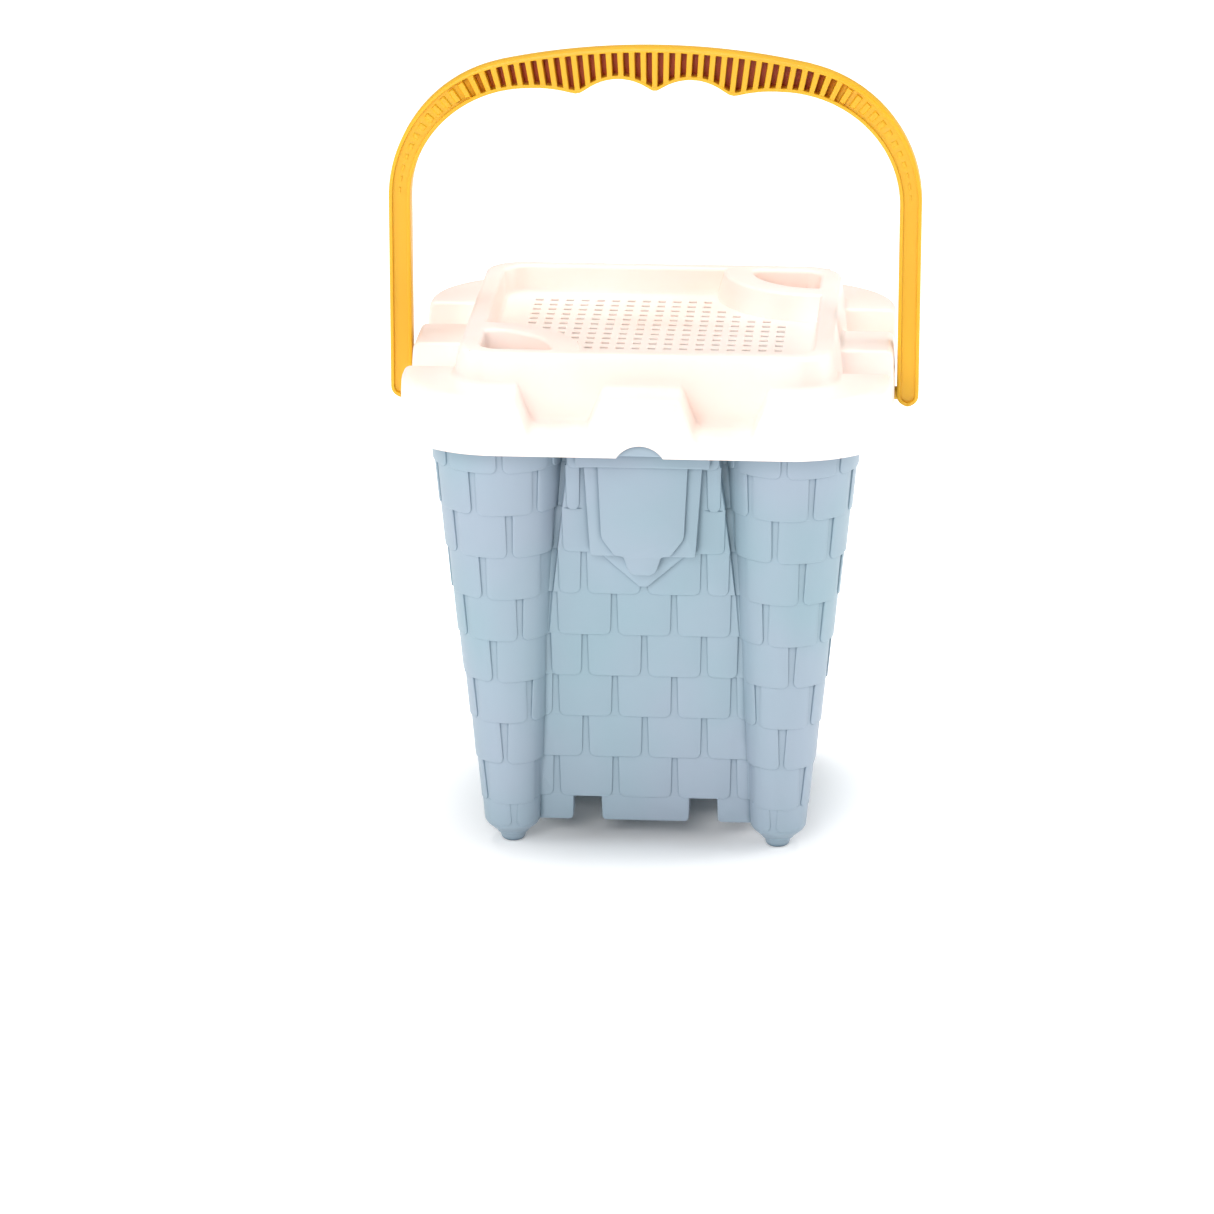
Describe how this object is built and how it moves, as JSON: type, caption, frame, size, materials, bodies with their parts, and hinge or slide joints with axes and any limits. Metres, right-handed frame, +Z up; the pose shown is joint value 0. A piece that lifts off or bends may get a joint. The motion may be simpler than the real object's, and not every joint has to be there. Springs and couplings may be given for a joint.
{
  "type": "castle sand bucket",
  "caption": "Square castle-shaped sand bucket with round corner towers, a lift-off sieve lid with battlements, and a swinging carry handle with a finger grip.",
  "frame": {"origin": "on the ground, midway between the four feet", "axes": "+Z up out of the bucket, -Y the front with a gate, X along the handle's pivots"},
  "size_m": [0.198, 0.18, 0.293],
  "materials": {
    "bucket_plastic": "satin moulded polypropylene, grey-blue",
    "lid_plastic": "satin moulded polypropylene, warm cream, slightly translucent",
    "handle_plastic": "satin moulded polypropylene, warm yellow, slightly translucent"
  },
  "bodies": {
    "bucket": {"castle_bucket": "bucket_plastic"},
    "lid": {"sieve_lid": "lid_plastic"},
    "handle": {"carry_handle": "handle_plastic"}
  },
  "joints": [
    {"name": "handle_swing", "type": "hinge", "parent": "bucket", "child": "handle", "pos_m": [0, 0, 0.1626], "axis": [1, 0, 0], "range_deg": [-137, 137]},
    {"name": "lid_lift", "type": "slide", "parent": "bucket", "child": "lid", "axis": [0, 0, 1], "range_m": [0, 0.028]}
  ]
}
